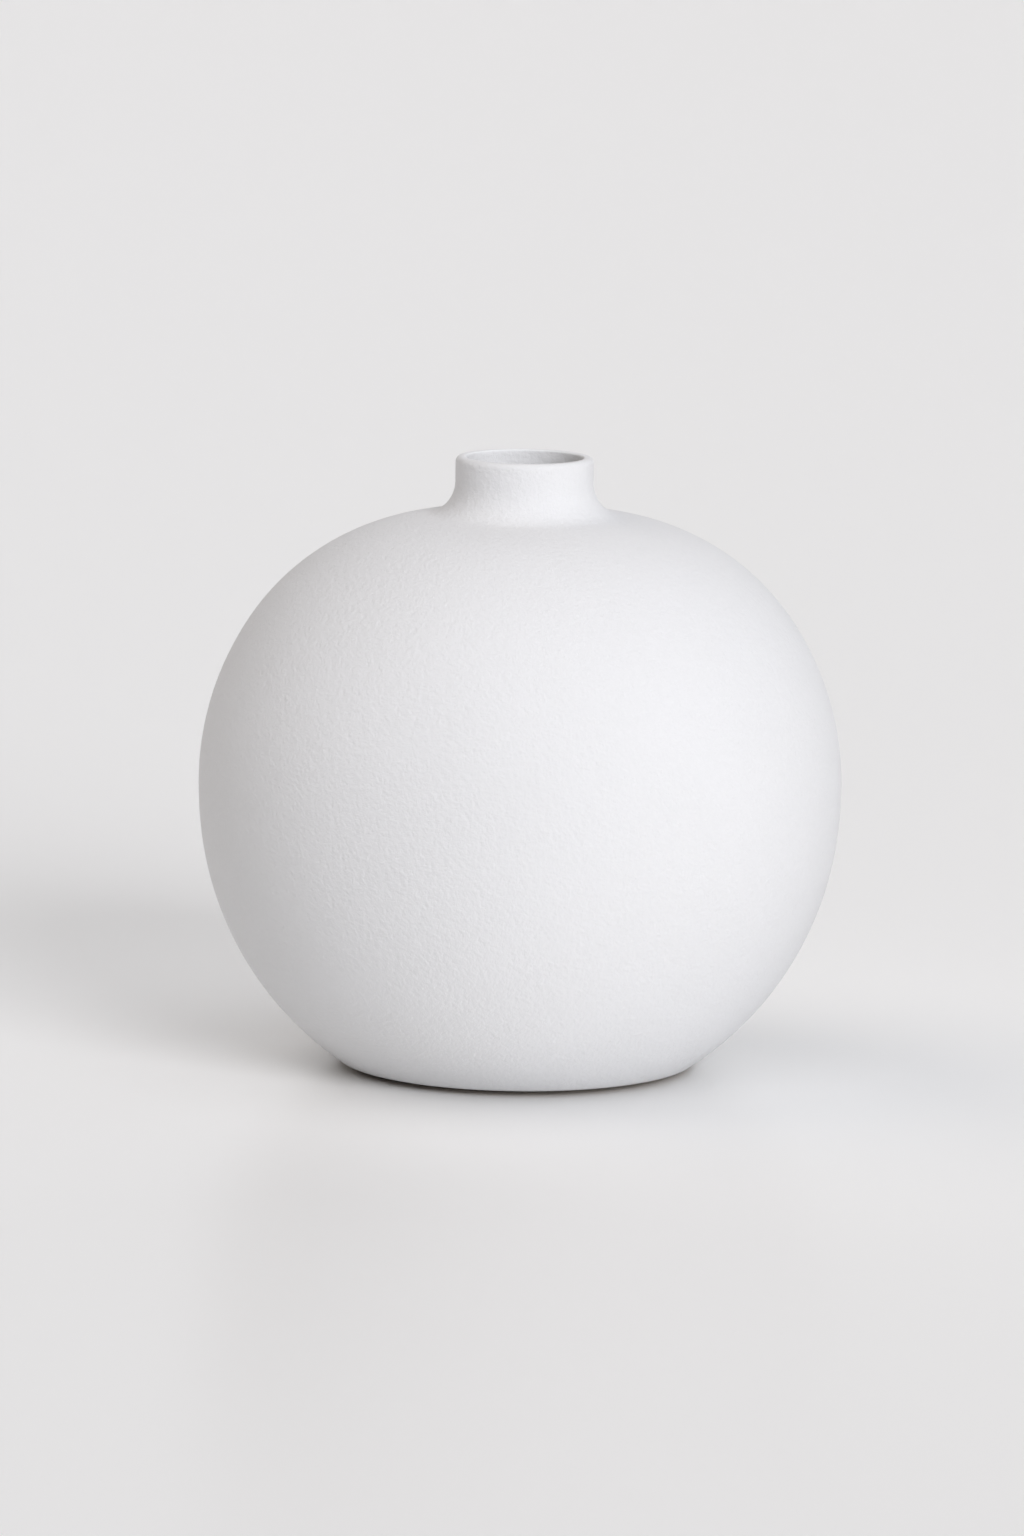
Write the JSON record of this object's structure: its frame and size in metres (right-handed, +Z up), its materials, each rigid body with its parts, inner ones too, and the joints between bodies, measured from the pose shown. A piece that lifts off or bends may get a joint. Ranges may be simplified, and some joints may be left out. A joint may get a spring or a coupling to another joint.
{
  "type": "bud vase",
  "caption": "Round hollow vase with a flat foot, a wide closed belly, a short narrow neck and a rounded lip, finished in a sandy matte coat.",
  "frame": {"origin": "centre of the pot's axis on the surface that the foot pads stand on", "axes": "+Z up along the axis of the pot, towards the mouth; X and Y are level and the foot pads lie between them"},
  "size_m": [0.15, 0.15, 0.1432],
  "materials": {
    "bare_ceramic": "matte",
    "matte_coat": "matte",
    "clear_glaze": "gloss",
    "pad_rubber": "matte"
  },
  "bodies": {
    "root": {"vase_body": "bare_ceramic", "outer_coat": "matte_coat", "inner_glaze": "clear_glaze", "foot_pad_1": "pad_rubber", "foot_pad_2": "pad_rubber", "foot_pad_3": "pad_rubber", "foot_pad_4": "pad_rubber"}
  },
  "joints": []
}
